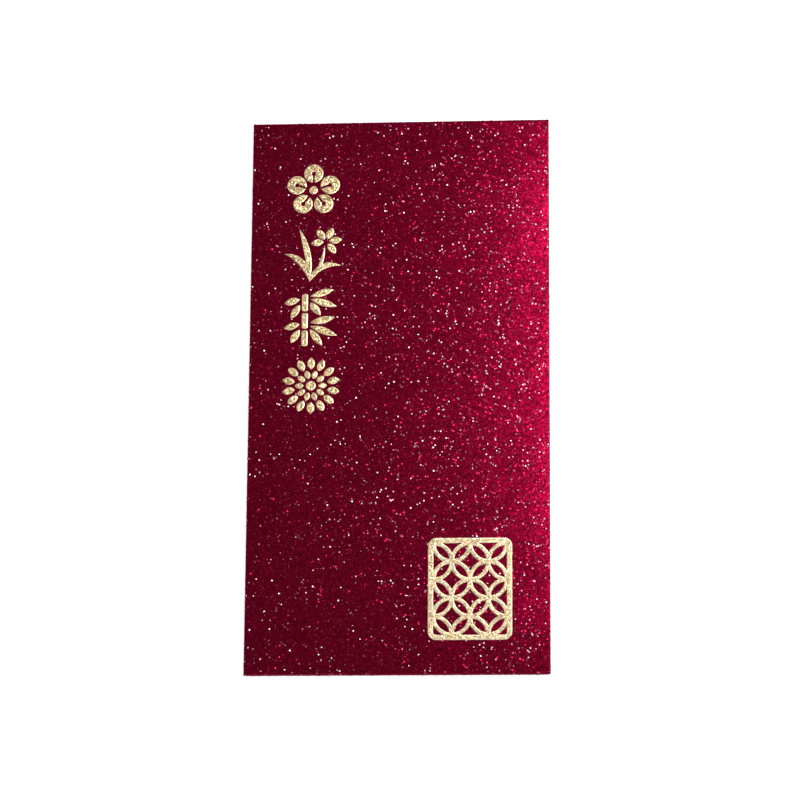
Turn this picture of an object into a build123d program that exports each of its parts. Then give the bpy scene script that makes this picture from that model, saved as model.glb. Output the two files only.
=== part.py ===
from build123d import *
import os

# Red gift envelope. One die-cut sheet of glitter paper is folded at four creases into a flat
# pocket: the two side panels meet behind the front in a glued seam, the bottom flap is glued
# over them, and the top flap folds over the mouth and stays loose. Gold foil ornaments are
# stamped on the front.
# The envelope lies on its back: +Z points out of the front, +Y to the closing fold at the top,
# +X to the right as the front is read. The origin is on the surface that it lies on, under
# the middle of the envelope. All lengths are in millimetres.

# Sheet
envelope_width = 90.0
envelope_height = 170.0
paper_thickness = 0.3
glue_thickness = 0.1
pocket_gap = 0.5  # free height of the pocket over the back seam
corner_relief = 0.2  # slit between the end of a flap's fold and the side fold

# Back seam, where the right panel is glued over the lap of the left one
seam_overlap = 14.0
seam_step_length = 2.5  # the left panel's lap rises by one layer over this length
seam_step_clearance = 0.4  # from the top of that step to the right panel's edge
seam_glue_margin = 1.5
mouth_drop = 4.0  # the back panels end this far below the top fold
back_bottom_clearance = 0.3  # from the back panels' lower ends to the bottom fold

# Closing flap and bottom flap, measured from the outside of their folds
top_flap_height = 28.0
top_flap_taper = 5.0
top_flap_corner_radius = 4.0
bottom_flap_height = 18.0
bottom_flap_taper = 6.0
bottom_flap_corner_radius = 2.5
bottom_glue_margin = 2.0

# Foil ornaments: a column at the upper left and a seal at the lower right
foil_relief = 0.2
motif_size = 17.5
motif_gap = 2.9
column_left_inset = 18.7  # from the left side to the middle of the column
column_top_inset = 12.7  # from the top fold to the first ornament
seal_width = 24.8
seal_height = 30.5
seal_right_inset = 11.1
seal_bottom_inset = 10.1
seal_border = 1.6
seal_inner_corner_radius = 0.8
lattice_line = 1.25
lattice_columns = 4  # ring radii across the width of the lattice

# Plum blossom, in shares of the ornament's size
plum_petals = 5
plum_petal_reach_share = 0.305
plum_petal_radius_share = 0.168
plum_heart_radius_share = 0.075
plum_stamen_width_share = 0.034
plum_stamen_length_share = 0.165
plum_anther_radius_share = 0.036

# Orchid: arched leaves given as tip x, tip y, outer bulge and inner bulge
orchid_root_shares = (-0.05, -0.48)
orchid_leaf_shares = (
    (-0.49, 0.02, -0.18, -0.055),
    (-0.24, 0.48, -0.115, -0.005),
    (0.205, 0.175, -0.035, -0.095),
    (0.49, -0.20, 0.18, 0.075),
)
orchid_bloom_place_shares = (0.235, 0.235)
orchid_petal_turns = (-143.0, -83.0, -23.0, 37.0, 97.0)
orchid_petal_base_share = 0.045
orchid_petal_length_share = 0.225
orchid_petal_width_share = 0.125

# Bamboo: a stalk in three lengths and leaves given as base x, base y, turn and length
bamboo_stalk_x_share = -0.12
bamboo_stalk_width_share = 0.105
bamboo_joint_gap_share = 0.03
bamboo_stalk_end_shares = (-0.48, -0.17, 0.14, 0.48)
bamboo_stalk_corner_share = 0.03
bamboo_leaf_width_share = 0.125
bamboo_leaf_shares = (
    (-0.03, 0.42, -74.0, 0.42),
    (-0.03, 0.37, -106.0, 0.48),
    (-0.03, 0.31, -142.0, 0.29),
    (-0.03, -0.05, -78.0, 0.44),
    (-0.03, -0.11, -110.0, 0.50),
    (-0.03, -0.17, -144.0, 0.36),
    (-0.21, 0.37, 106.0, 0.28),
    (-0.21, 0.27, 148.0, 0.28),
    (-0.21, -0.07, 106.0, 0.28),
    (-0.21, -0.17, 148.0, 0.28),
)

# Chrysanthemum: rings of petals given as count, base radius, tip radius, width and first turn
chrysanthemum_ring_shares = (
    (14, 0.285, 0.5, 0.128, 0.0),
    (10, 0.125, 0.275, 0.1, 18.0),
)
chrysanthemum_heart_radius_share = 0.085

# Levels of the layers above the surface, from the flaps up to the front
half_width = envelope_width / 2
half_height = envelope_height / 2
flap_top = paper_thickness
back_bottom = flap_top + glue_thickness
back_top = back_bottom + paper_thickness
seam_bottom = back_top + glue_thickness
seam_top = seam_bottom + paper_thickness
front_bottom = seam_top + pocket_gap
front_top = front_bottom + paper_thickness

# Folds: the side folds join the front to the back panels, the end folds join it to the flaps
side_fold_radius = (front_top - back_bottom) / 2
end_fold_radius = front_top / 2
side_axis_x = half_width - side_fold_radius
side_axis_z = back_bottom + side_fold_radius
end_axis_y = half_height - end_fold_radius
end_axis_z = end_fold_radius
flap_half_width = side_axis_x - corner_relief

# Back panels
mouth_y = half_height - mouth_drop
back_low_y = back_bottom_clearance - end_axis_y
seam_edge_x = seam_overlap / 2
step_top_x = -seam_edge_x - seam_step_clearance
step_foot_x = step_top_x - seam_step_length


def plate(x_low, x_high, y_low, y_high, z_low, z_high):
    """A flat rectangular layer between six levels."""
    layer = Box(x_high - x_low, y_high - y_low, z_high - z_low, align=Align.MIN)
    return Pos(x_low, y_low, z_low) * layer


def half_ring(outer_radius):
    """The section of a fold, bulging to +X, one sheet thick."""
    outer = CenterArc((0, 0), outer_radius, -90, 180)
    inner = CenterArc((0, 0), outer_radius - paper_thickness, -90, 180)
    return make_face([outer, Line(outer @ 1, inner @ 1), inner, Line(inner @ 0, outer @ 0)])


def side_fold(side):
    """The fold along one long side: side is 1 on the right and -1 on the left."""
    section = half_ring(side_fold_radius)
    if side < 0:
        section = mirror(section, Plane.YZ)
    placed = Plane.XZ * Pos(side * side_axis_x, side_axis_z) * section
    return extrude(placed, half_height, both=True)


def end_fold(end):
    """The fold at the top, end 1, or at the bottom, end -1."""
    section = half_ring(end_fold_radius)
    if end < 0:
        section = mirror(section, Plane.YZ)
    placed = Plane.YZ * Pos(end * end_axis_y, end_axis_z) * section
    return extrude(placed, flap_half_width, both=True)


def flap(end, height, taper, corner_radius):
    """A tapered flap on the back, from its fold at the top, end 1, or bottom, end -1."""
    root_y = end * end_axis_y
    free_y = end * (half_height - height)
    free_half_width = flap_half_width - taper
    outline = make_face(
        Polyline(
            (-flap_half_width, root_y),
            (flap_half_width, root_y),
            (free_half_width, free_y),
            (-free_half_width, free_y),
            close=True,
        )
    )
    corners = outline.vertices().group_by(Axis.Y)[0 if end > 0 else -1]
    return extrude(fillet(corners, corner_radius), paper_thickness, dir=(0, 0, 1))


def seam_step():
    """The short slope that lifts the left panel's lap over the right panel."""
    foot, top = (step_foot_x, back_bottom), (step_top_x, seam_bottom)
    over = [(x, z + paper_thickness) for x, z in (top, foot)]
    section = make_face(Polyline(foot, top, *over, close=True))
    slope = extrude(Plane.XZ * section, mouth_y - back_low_y)
    return Pos(0, mouth_y, 0) * slope


def bottom_glue():
    """Two glue pads between the bottom flap and the side panels, one each side of the seam."""
    reach = flap_half_width - bottom_flap_taper - bottom_glue_margin
    low_y = back_low_y + bottom_glue_margin
    high_y = bottom_flap_height - half_height - bottom_glue_margin
    left_end = step_foot_x - bottom_glue_margin
    right_start = bottom_glue_margin - seam_edge_x
    left = plate(-reach, left_end, low_y, high_y, flap_top, back_bottom)
    right = plate(right_start, reach, low_y, high_y, flap_top, back_bottom)
    return Compound(children=[left, right])


def lens(length, width, base=0.0):
    """A pointed petal along +Y from its base."""
    foot, tip = (0, base), (0, base + length)
    return make_face([SagittaArc(foot, tip, width / 2), SagittaArc(tip, foot, width / 2)])


def arched_leaf(foot, tip, outer_bulge, inner_bulge):
    """A leaf between two arcs from its foot to its tip."""
    arcs = []
    for bulge, start, end in ((outer_bulge, foot, tip), (-inner_bulge, tip, foot)):
        arcs.append(SagittaArc(start, end, bulge) if bulge else Line(start, end))
    return make_face(arcs)


def plum_blossom(size):
    """Five round petals about a heart, each cut by a stamen."""
    reach = plum_petal_reach_share * size
    petal = Pos(0, reach) * Circle(plum_petal_radius_share * size)
    stamen_width = plum_stamen_width_share * size
    stamen_length = plum_stamen_length_share * size
    stamen_top = reach - plum_petal_radius_share * size + stamen_length
    stamen = Pos(0, stamen_top - stamen_length) * Rectangle(stamen_width, 2 * stamen_length)
    anther = Pos(0, stamen_top) * Circle(plum_anther_radius_share * size)
    cut_petal = petal - (stamen + anther)
    blossom = Sketch() + Circle(plum_heart_radius_share * size)
    for index in range(plum_petals):
        blossom += Rot(0, 0, index * 360 / plum_petals) * cut_petal
    return blossom


def orchid(size):
    """Arched leaves from one root and an open bloom."""
    root = tuple(share * size for share in orchid_root_shares)
    spray = Sketch()
    for tip_x, tip_y, outer_bulge, inner_bulge in orchid_leaf_shares:
        tip = (tip_x * size, tip_y * size)
        spray += arched_leaf(root, tip, outer_bulge * size, inner_bulge * size)
    petal = lens(
        orchid_petal_length_share * size,
        orchid_petal_width_share * size,
        orchid_petal_base_share * size,
    )
    place = Pos(*(share * size for share in orchid_bloom_place_shares))
    for turn in orchid_petal_turns:
        spray += place * Rot(0, 0, turn) * petal
    return spray


def bamboo(size):
    """A jointed stalk with two sprays of hanging leaves."""
    stalk_x = bamboo_stalk_x_share * size
    half_gap = bamboo_joint_gap_share * size / 2
    spray = Sketch()
    for low_share, high_share in zip(bamboo_stalk_end_shares, bamboo_stalk_end_shares[1:]):
        low, high = low_share * size + half_gap, high_share * size - half_gap
        length = RectangleRounded(
            bamboo_stalk_width_share * size, high - low, bamboo_stalk_corner_share * size
        )
        spray += Pos(stalk_x, (low + high) / 2) * length
    for base_x, base_y, turn, length_share in bamboo_leaf_shares:
        leaf = lens(length_share * size, bamboo_leaf_width_share * size)
        spray += Pos(base_x * size, base_y * size) * Rot(0, 0, turn) * leaf
    return spray


def chrysanthemum(size):
    """Two rings of narrow petals about a heart."""
    bloom = Sketch() + Circle(chrysanthemum_heart_radius_share * size)
    for count, base_share, tip_share, width_share, first_turn in chrysanthemum_ring_shares:
        petal = lens((tip_share - base_share) * size, width_share * size, base_share * size)
        for index in range(count):
            bloom += Rot(0, 0, first_turn + index * 360 / count) * petal
    return bloom


def seal():
    """A rounded border filled with a lattice of linked rings."""
    inner_width = seal_width - 2 * seal_border
    inner_height = seal_height - 2 * seal_border
    window = RectangleRounded(inner_width, inner_height, seal_inner_corner_radius)
    outer_corner_radius = seal_inner_corner_radius + seal_border
    border = RectangleRounded(seal_width, seal_height, outer_corner_radius) - window
    pitch_x = inner_width / lattice_columns
    rows = round(inner_height / pitch_x)
    pitch_y = inner_height / rows
    ring = Circle(pitch_x + lattice_line / 2) - Circle(pitch_x - lattice_line / 2)
    lattice = Sketch()
    for row in range(rows + 1):
        for column in range(row % 2, lattice_columns + 1, 2):
            place = Pos(column * pitch_x - inner_width / 2, row * pitch_y - inner_height / 2)
            lattice += place * ring
    return border + (lattice & window)


def stamp(outline, x, y):
    """Foil of one relief height on the front, from an outline about its own middle."""
    return extrude(Pos(x, y, front_top) * outline, foil_relief, dir=(0, 0, 1))


def column_place(index):
    """The middle of one ornament of the column, counted from the top."""
    first_y = half_height - column_top_inset - motif_size / 2
    return column_left_inset - half_width, first_y - index * (motif_size + motif_gap)


seal_x = half_width - seal_right_inset - seal_width / 2
seal_y = seal_bottom_inset + seal_height / 2 - half_height

nodes = {
    "front_panel": plate(
        -side_axis_x, side_axis_x, -end_axis_y, end_axis_y, front_bottom, front_top
    ),
    "left_side_fold": side_fold(-1),
    "right_side_fold": side_fold(1),
    "bottom_fold": end_fold(-1),
    "top_fold": end_fold(1),
    "left_back_panel": plate(
        -side_axis_x, step_foot_x, back_low_y, mouth_y, back_bottom, back_top
    ),
    "seam_step": seam_step(),
    "seam_lap": plate(step_top_x, seam_edge_x, back_low_y, mouth_y, seam_bottom, seam_top),
    "right_back_panel": plate(
        -seam_edge_x, side_axis_x, back_low_y, mouth_y, back_bottom, back_top
    ),
    "bottom_flap": flap(-1, bottom_flap_height, bottom_flap_taper, bottom_flap_corner_radius),
    "top_flap": flap(1, top_flap_height, top_flap_taper, top_flap_corner_radius),
    "back_seam_glue": plate(
        seam_glue_margin - seam_edge_x,
        seam_edge_x - seam_glue_margin,
        back_low_y + seam_glue_margin,
        mouth_y - seam_glue_margin,
        back_top,
        seam_bottom,
    ),
    "bottom_flap_glue": bottom_glue(),
    "plum_blossom_foil": stamp(plum_blossom(motif_size), *column_place(0)),
    "orchid_foil": stamp(orchid(motif_size), *column_place(1)),
    "bamboo_foil": stamp(bamboo(motif_size), *column_place(2)),
    "chrysanthemum_foil": stamp(chrysanthemum(motif_size), *column_place(3)),
    "seal_foil": stamp(seal(), seal_x, seal_y),
}

os.makedirs("parts", exist_ok=True)
for name, shape in nodes.items():
    export_step(shape, f"parts/{name}.step")
    print(name, len(shape.solids()), round(shape.volume, 2))
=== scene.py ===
"""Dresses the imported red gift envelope: glitter paper, stamped gold foil, glue and loose flakes.

All lengths are in metres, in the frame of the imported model: +Z out of the decorated front, +Y to the
closing fold and +X to the right as the front is read.
"""
import logging
import math
from dataclasses import dataclass
from enum import Enum
from typing import Callable, Mapping, Sequence, Union

import bmesh
import bpy
import numpy as np
from mathutils import Matrix, Vector
from mathutils.bvhtree import BVHTree
from mathutils.geometry import delaunay_2d_cdt


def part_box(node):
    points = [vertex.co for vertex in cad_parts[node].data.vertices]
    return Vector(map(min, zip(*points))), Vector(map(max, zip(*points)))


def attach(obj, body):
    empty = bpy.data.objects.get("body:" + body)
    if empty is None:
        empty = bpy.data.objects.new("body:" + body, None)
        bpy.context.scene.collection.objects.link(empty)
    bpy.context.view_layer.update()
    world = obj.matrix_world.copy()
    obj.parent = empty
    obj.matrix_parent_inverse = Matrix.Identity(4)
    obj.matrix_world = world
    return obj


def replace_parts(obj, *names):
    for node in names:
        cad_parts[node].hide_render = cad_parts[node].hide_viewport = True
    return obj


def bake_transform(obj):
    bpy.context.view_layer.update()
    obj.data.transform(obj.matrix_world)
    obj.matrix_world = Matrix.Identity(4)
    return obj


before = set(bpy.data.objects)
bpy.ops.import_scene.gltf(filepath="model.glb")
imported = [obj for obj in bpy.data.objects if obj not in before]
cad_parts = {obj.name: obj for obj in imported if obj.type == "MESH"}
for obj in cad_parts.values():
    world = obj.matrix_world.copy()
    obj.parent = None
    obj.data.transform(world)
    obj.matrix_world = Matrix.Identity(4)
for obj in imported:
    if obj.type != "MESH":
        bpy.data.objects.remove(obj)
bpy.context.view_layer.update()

LOG = logging.getLogger("red_envelope")
MM = 0.001
POCKET = "pocket"
CREASE = "crease"
TINT = "tint"
BURNISH_AND_HIGHLIGHT = "burnish_and_highlight"

# How crisply a crease is pressed, where 2 is round, and how closely its wear keeps to its edge.
CRISPNESS = 6.0
WEAR_FOCUS = 6

# Points in a full circle, the least bend at a cut edge, and the most that shading smooths over.
CIRCLE_POINTS = 48
CUT_BEND = math.radians(50.0)
SHEET_SMOOTH = math.radians(35.0)
FOIL_SMOOTH = math.radians(60.0)

# How near to a place a point is at it, how near to each other two points are merged, and the least divisor.
TOUCH = 1e-6
WELD = 1e-7
LEAST = 1e-18

# How far flakes may stand out of the paper, and where their random numbers start.
FRONT_STAND = 0.16 * MM
BACK_STAND = 0.07 * MM
FRONT_SEED = 11
BACK_SEED = 23
FLAP_SEED = 37

DOWN = Vector((0.0, 0.0, -1.0))

Colour = tuple[float, float, float]
Feed = Union["Wire", float, int, str, Sequence[float]]


class Layer(Enum):
    """The faces of a paper piece, in the order of its material slots."""

    OUTSIDE = 0
    INSIDE = 1
    EDGE = 2


class End(Enum):
    """An end of the envelope, as the sign of its Y."""

    TOP = 1
    BOTTOM = -1


class Side(Enum):
    """A long side of the envelope, as the sign of its X."""

    RIGHT = 1
    LEFT = -1


class Wire:
    """A shader socket that takes part in Python arithmetic."""

    def __init__(self, recipe: "Recipe", socket: bpy.types.NodeSocket) -> None:
        """Keep the socket and the recipe that its nodes go into."""
        self.recipe = recipe
        self.socket = socket

    def _math(self, operation: str, first: Feed, second: Feed) -> "Wire":
        """Add a Math node.

        Args:
            operation: The node's operation.
            first: Its first value.
            second: Its second value.

        Returns:
            The node's result.
        """
        return self.recipe.take("ShaderNodeMath", {"operation": operation}, {0: first, 1: second}, 0)

    def __add__(self, other: Feed) -> "Wire":
        """Add a value."""
        return self._math("ADD", self, other)

    def __radd__(self, other: Feed) -> "Wire":
        """Add to a value."""
        return self._math("ADD", other, self)

    def __rsub__(self, other: Feed) -> "Wire":
        """Take away from a value."""
        return self._math("SUBTRACT", other, self)

    def __mul__(self, other: Feed) -> "Wire":
        """Multiply by a value."""
        return self._math("MULTIPLY", self, other)

    def __rmul__(self, other: Feed) -> "Wire":
        """Multiply a value."""
        return self._math("MULTIPLY", other, self)

    def __pow__(self, other: Feed) -> "Wire":
        """Raise to a power."""
        return self._math("POWER", self, other)

    def __gt__(self, other: Feed) -> "Wire":
        """Give 1 where this is the greater."""
        return self._math("GREATER_THAN", self, other)

    def ramp(self, low: float, high: float) -> "Wire":
        """Give a smooth step.

        Args:
            low: Where it leaves 0.
            high: Where it reaches 1.

        Returns:
            The step.
        """
        settings = {"interpolation_type": "SMOOTHSTEP"}
        feeds = {"Value": self, "From Min": low, "From Max": high}
        return self.recipe.take("ShaderNodeMapRange", settings, feeds, "Result")


class Recipe:
    """A material under construction: its nodes and the surface that they end in."""

    def __init__(self, name: str) -> None:
        """Start a material with an empty node tree."""
        self.material = bpy.data.materials.new(name)
        self.material.use_nodes = True
        self.tree = self.material.node_tree
        self.tree.nodes.clear()

    def node(self, kind: str, settings: Mapping[str, object], feeds: Mapping) -> bpy.types.Node:
        """Add one node.

        Args:
            kind: The node's type.
            settings: Properties set before the sockets.
            feeds: Values or wires by socket name or number.

        Returns:
            The node.
        """
        node = self.tree.nodes.new(kind)
        for key, value in settings.items():
            setattr(node, key, value)
        for key, feed in feeds.items():
            if isinstance(feed, Wire):
                self.tree.links.new(feed.socket, node.inputs[key])
            else:
                node.inputs[key].default_value = feed
        return node

    def take(self, kind: str, settings: Mapping, feeds: Mapping, output: Union[str, int]) -> Wire:
        """Add one node and give one of its outputs."""
        return Wire(self, self.node(kind, settings, feeds).outputs[output])

    def place(self) -> Wire:
        """The point on the surface, in the object's own frame."""
        return self.take("ShaderNodeTexCoord", {}, {}, "Object")

    def attribute(self, name: str) -> Wire:
        """A number that the mesh holds."""
        return self.take("ShaderNodeAttribute", {"attribute_name": name}, {}, "Fac")

    def noise(self, grain: float, detail: float = 2.0, along: float = 1.0, output: str = "Fac") -> Wire:
        """A soft noise of one grain size.

        Args:
            grain: Size of its patches.
            detail: Octaves added below that size.
            along: Scale along Y, where less than 1 draws the patches out.
            output: "Fac" for one number, "Color" for three.

        Returns:
            The noise, about 0.5.
        """
        where = self.place()
        if along != 1.0:
            where = self.take("ShaderNodeMapping", {}, {"Vector": where, "Scale": (1.0, along, 1.0)}, 0)
        feeds = {"Vector": where, "Scale": 1.0 / grain, "Detail": detail}
        return self.take("ShaderNodeTexNoise", {}, feeds, output)

    def cells(self, grain: float) -> Wire:
        """A random colour for each grain of one size."""
        feeds = {"Vector": self.place(), "Scale": 1.0 / grain}
        return self.take("ShaderNodeTexVoronoi", {}, feeds, "Color")

    def part(self, colour: Wire, channel: str) -> Wire:
        """One channel of a colour."""
        return self.take("ShaderNodeSeparateColor", {}, {"Color": colour}, channel)

    def blend(self, share: Feed, first: Feed, second: Feed) -> Wire:
        """Mix two colours.

        Args:
            share: How much of the second.
            first: The colour at 0.
            second: The colour at 1.

        Returns:
            The mixed colour.
        """
        settings = {"data_type": "RGBA"}
        pair = [(*c, 1.0) if isinstance(c, tuple) else c for c in (first, second)]
        return self.take("ShaderNodeMix", settings, {0: share, 6: pair[0], 7: pair[1]}, 2)

    def vector(self, operation: str, feeds: Mapping) -> Wire:
        """Add a Vector Math node and give its result."""
        return self.take("ShaderNodeVectorMath", {"operation": operation}, feeds, 0)

    def dim(self, colour: Wire, level: Feed) -> Wire:
        """Multiply a colour, or a direction, by one level."""
        return self.vector("SCALE", {0: colour, "Scale": level})

    def facets(self, *leanings: tuple[Wire, Feed]) -> Wire:
        """Turn the surface its own way at each grain.

        Args:
            leanings: Random colours, each with how far it makes the normal lean.

        Returns:
            The leaning normal.
        """
        summed = self.take("ShaderNodeNewGeometry", {}, {}, "Normal")
        for lot, lean in leanings:
            centred = self.vector("SUBTRACT", {0: lot, 1: (0.5, 0.5, 0.5)})
            summed = self.vector("ADD", {0: summed, 1: self.dim(centred, lean)})
        return self.vector("NORMALIZE", {0: summed})

    def bump(self, height: Wire, depth: float) -> Wire:
        """Turn heights from 0 to 1 into a normal."""
        feeds = {"Height": height, "Distance": depth, "Strength": 1.0}
        return self.take("ShaderNodeBump", {}, feeds, "Normal")

    def surface(self, feeds: Mapping[str, Feed]) -> bpy.types.Material:
        """End in a Principled surface.

        Args:
            feeds: Values or wires by the surface's socket names.

        Returns:
            The material.
        """
        shader = self.node("ShaderNodeBsdfPrincipled", {}, feeds)
        self.node("ShaderNodeOutputMaterial", {}, {"Surface": Wire(self, shader.outputs[0])})
        return self.material


@dataclass(frozen=True)
class GlitterPaperFinish:
    """Outside of the sheet: a crimson film with a fine metallic grain."""

    name: str = "glitter_paper_outside"
    shade: Colour = (0.136, 0.001, 0.0149)
    glow: Colour = (0.276, 0.0019, 0.0283)
    rubbed: Colour = (0.55, 0.2, 0.22)
    sheen: Colour = (0.45, 0.02, 0.07)
    grain: float = 0.40 * MM
    cloud: float = 11.0 * MM
    wave: float = 8.0 * MM
    rub: float = 0.35 * MM
    wear: float = 0.55
    lean: float = 0.042
    sway: float = 0.05
    roughness: float = 0.205
    metal: float = 0.62

    def make(self) -> bpy.types.Material:
        """Build the nodes.

        Returns:
            The material.
        """
        recipe = Recipe(self.name)
        lot = recipe.cells(self.grain)
        waves = recipe.noise(self.wave, 1.0, output="Color")
        colour = recipe.blend(recipe.part(lot, "Red"), self.shade, self.glow)
        colour = recipe.dim(colour, 0.82 + 0.36 * recipe.noise(self.cloud))
        rubs = recipe.noise(self.rub).ramp(0.56, 0.68)
        worn = recipe.attribute(CREASE) * rubs * self.wear
        colour = recipe.blend(worn, colour, self.rubbed)
        return recipe.surface(
            {
                "Base Color": colour,
                "Metallic": self.metal * (1.0 - worn),
                "Roughness": self.roughness + 0.08 * recipe.part(lot, "Green"),
                "Normal": recipe.facets((lot, self.lean), (waves, self.sway)),
                "Specular IOR Level": 0.0,
                "Specular Tint": (*self.sheen, 1.0),
            }
        )


@dataclass(frozen=True)
class PlainPaperFinish:
    """Inside of the sheet: uncoated pale paper with short fibres."""

    name: str = "plain_paper_inside"
    pale: Colour = (0.80, 0.75, 0.69)
    fibre: Colour = (0.66, 0.58, 0.52)
    grain: float = 0.22 * MM
    along: float = 0.22
    cloud: float = 4.0 * MM
    tooth: float = 0.03 * MM

    def make(self) -> bpy.types.Material:
        """Build the nodes.

        Returns:
            The material.
        """
        recipe = Recipe(self.name)
        fibres = recipe.noise(self.grain, 4.0, self.along)
        clouds = recipe.noise(self.cloud, 3.0)
        share = fibres.ramp(0.45, 0.75) * 0.5 + 0.3 * clouds
        return recipe.surface(
            {
                "Base Color": recipe.blend(share, self.pale, self.fibre),
                "Roughness": 0.78 + 0.16 * clouds,
                "Normal": recipe.bump(fibres, self.tooth),
            }
        )


@dataclass(frozen=True)
class CutEdgeFinish:
    """Cut edge of the sheet: pale core stained by the film."""

    name: str = "paper_cut_edge"
    core: Colour = (0.62, 0.42, 0.40)
    stain: Colour = (0.30, 0.02, 0.05)
    grain: float = 0.12 * MM
    tooth: float = 0.04 * MM

    def make(self) -> bpy.types.Material:
        """Build the nodes.

        Returns:
            The material.
        """
        recipe = Recipe(self.name)
        fibres = recipe.noise(self.grain, 4.0)
        return recipe.surface(
            {
                "Base Color": recipe.blend(fibres.ramp(0.35, 0.7), self.core, self.stain),
                "Roughness": 0.7 + 0.25 * fibres,
                "Normal": recipe.bump(fibres, self.tooth),
            }
        )


@dataclass(frozen=True)
class DriedGlueFinish:
    """Film of dried white glue with rolled streaks."""

    name: str = "dried_glue"
    clear: Colour = (0.86, 0.82, 0.72)
    thick: Colour = (0.74, 0.66, 0.5)
    streak: float = 0.9 * MM
    along: float = 0.12
    pool: float = 3.5 * MM
    ridge: float = 0.05 * MM

    def make(self) -> bpy.types.Material:
        """Build the nodes.

        Returns:
            The material.
        """
        recipe = Recipe(self.name)
        streaks = recipe.noise(self.streak, 3.0, self.along)
        pools = recipe.noise(self.pool)
        return recipe.surface(
            {
                "Base Color": recipe.blend(streaks.ramp(0.4, 0.7), self.clear, self.thick),
                "Roughness": 0.22 + 0.3 * pools,
                "Normal": recipe.bump(streaks, self.ridge),
            }
        )


@dataclass(frozen=True)
class GoldFoilFinish:
    """Champagne gold hot-stamping foil over the paper's grain, its rims lighter: partly burnished, partly a
    painted highlight.
    """

    name: str
    bright: Colour = (1.0, 0.82, 0.50)
    deep: Colour = (0.66, 0.39, 0.13)
    grain: float = 0.26 * MM
    cloud: float = 1.6 * MM
    lean: float = 0.7
    roughness: float = 0.28

    def make(self) -> bpy.types.Material:
        """Build the nodes.

        Returns:
            The material.
        """
        recipe = Recipe(self.name)
        lot = recipe.cells(self.grain)
        clouds = recipe.noise(self.cloud, 3.0)
        burnish_and_highlight = recipe.attribute(BURNISH_AND_HIGHLIGHT)
        grainy = recipe.part(lot, "Blue") * 0.7 + clouds.ramp(0.4, 0.7) * 0.35
        return recipe.surface(
            {
                # The rims take the bright colour alone, partly as a real burnish and partly as a painted
                # highlight of the raised edge.
                "Base Color": recipe.blend(grainy * (1.0 - burnish_and_highlight), self.bright, self.deep),
                "Metallic": 1.0,
                "Roughness": self.roughness + 0.2 * recipe.part(lot, "Green"),
                "Normal": recipe.facets((lot, self.lean * (1.0 - 0.6 * burnish_and_highlight))),
            }
        )


@dataclass(frozen=True)
class FlakeFinish:
    """Crimson foil flakes under a clear lacquer that may glint white."""

    name: str
    deep: Colour
    bright: Colour
    metal: float
    glints: bool
    roughness: float = 0.09
    lacquer: float = 2.4
    scuff: float = 0.15 * MM

    def make(self) -> bpy.types.Material:
        """Build the nodes.

        Returns:
            The material.
        """
        recipe = Recipe(self.name)
        tint = recipe.attribute(TINT)
        scuffs = recipe.noise(self.scuff, 3.0)
        feeds: dict[str, Feed] = {
            "Base Color": recipe.blend(tint, self.deep, self.bright),
            "Metallic": self.metal,
            "Specular IOR Level": 0.0,
            "Roughness": self.roughness + 0.07 * scuffs,
        }
        if self.glints:
            feeds["Coat Weight"] = tint**1.5
            feeds["Coat IOR"] = self.lacquer
            feeds["Coat Roughness"] = self.roughness
        return recipe.surface(feeds)


@dataclass(frozen=True)
class StudioFloorFinish:
    """White floor that shows as a white background and keeps a contact shadow."""

    name: str = "studio_floor"
    white: float = 0.8
    shown: float = 0.86
    shaded: float = 0.4
    mottle: float = 40.0 * MM

    def make(self) -> bpy.types.Material:
        """Build the nodes.

        Returns:
            The material.
        """
        recipe = Recipe(self.name)
        path = recipe.node("ShaderNodeLightPath", {}, {})
        rays = [Wire(recipe, path.outputs[f"Is {ray} Ray"]) for ray in ("Camera", "Glossy", "Transmission")]
        seen = (rays[0] + rays[1] + rays[2]) > 0.5
        mottles = recipe.noise(self.mottle)
        pale = recipe.blend(mottles, (self.white,) * 3, (self.white * 0.98,) * 3)
        lit = recipe.take("ShaderNodeBsdfDiffuse", {}, {"Color": pale}, 0)
        shadow = recipe.take("ShaderNodeBsdfDiffuse", {}, {"Color": (*(self.shaded,) * 3, 1.0)}, 0)
        glow = recipe.take("ShaderNodeEmission", {}, {"Strength": self.shown}, 0)
        backdrop = recipe.take("ShaderNodeAddShader", {}, {0: shadow, 1: glow}, 0)
        mixed = recipe.take("ShaderNodeMixShader", {}, {0: seen, 1: lit, 2: backdrop}, 0)
        recipe.node("ShaderNodeOutputMaterial", {}, {"Surface": mixed})
        return recipe.material


def hold(obj: bpy.types.Object) -> None:
    """Select one object alone and make it the active one."""
    bpy.ops.object.select_all(action="DESELECT")
    obj.select_set(True)
    bpy.context.view_layer.objects.active = obj


def add_object(name: str, data: bpy.types.ID) -> bpy.types.Object:
    """Put new data into the scene.

    Args:
        name: The object's name.
        data: Its mesh, lamp or camera.

    Returns:
        The object.
    """
    obj = bpy.data.objects.new(name, data)
    bpy.context.scene.collection.objects.link(obj)
    return obj


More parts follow.
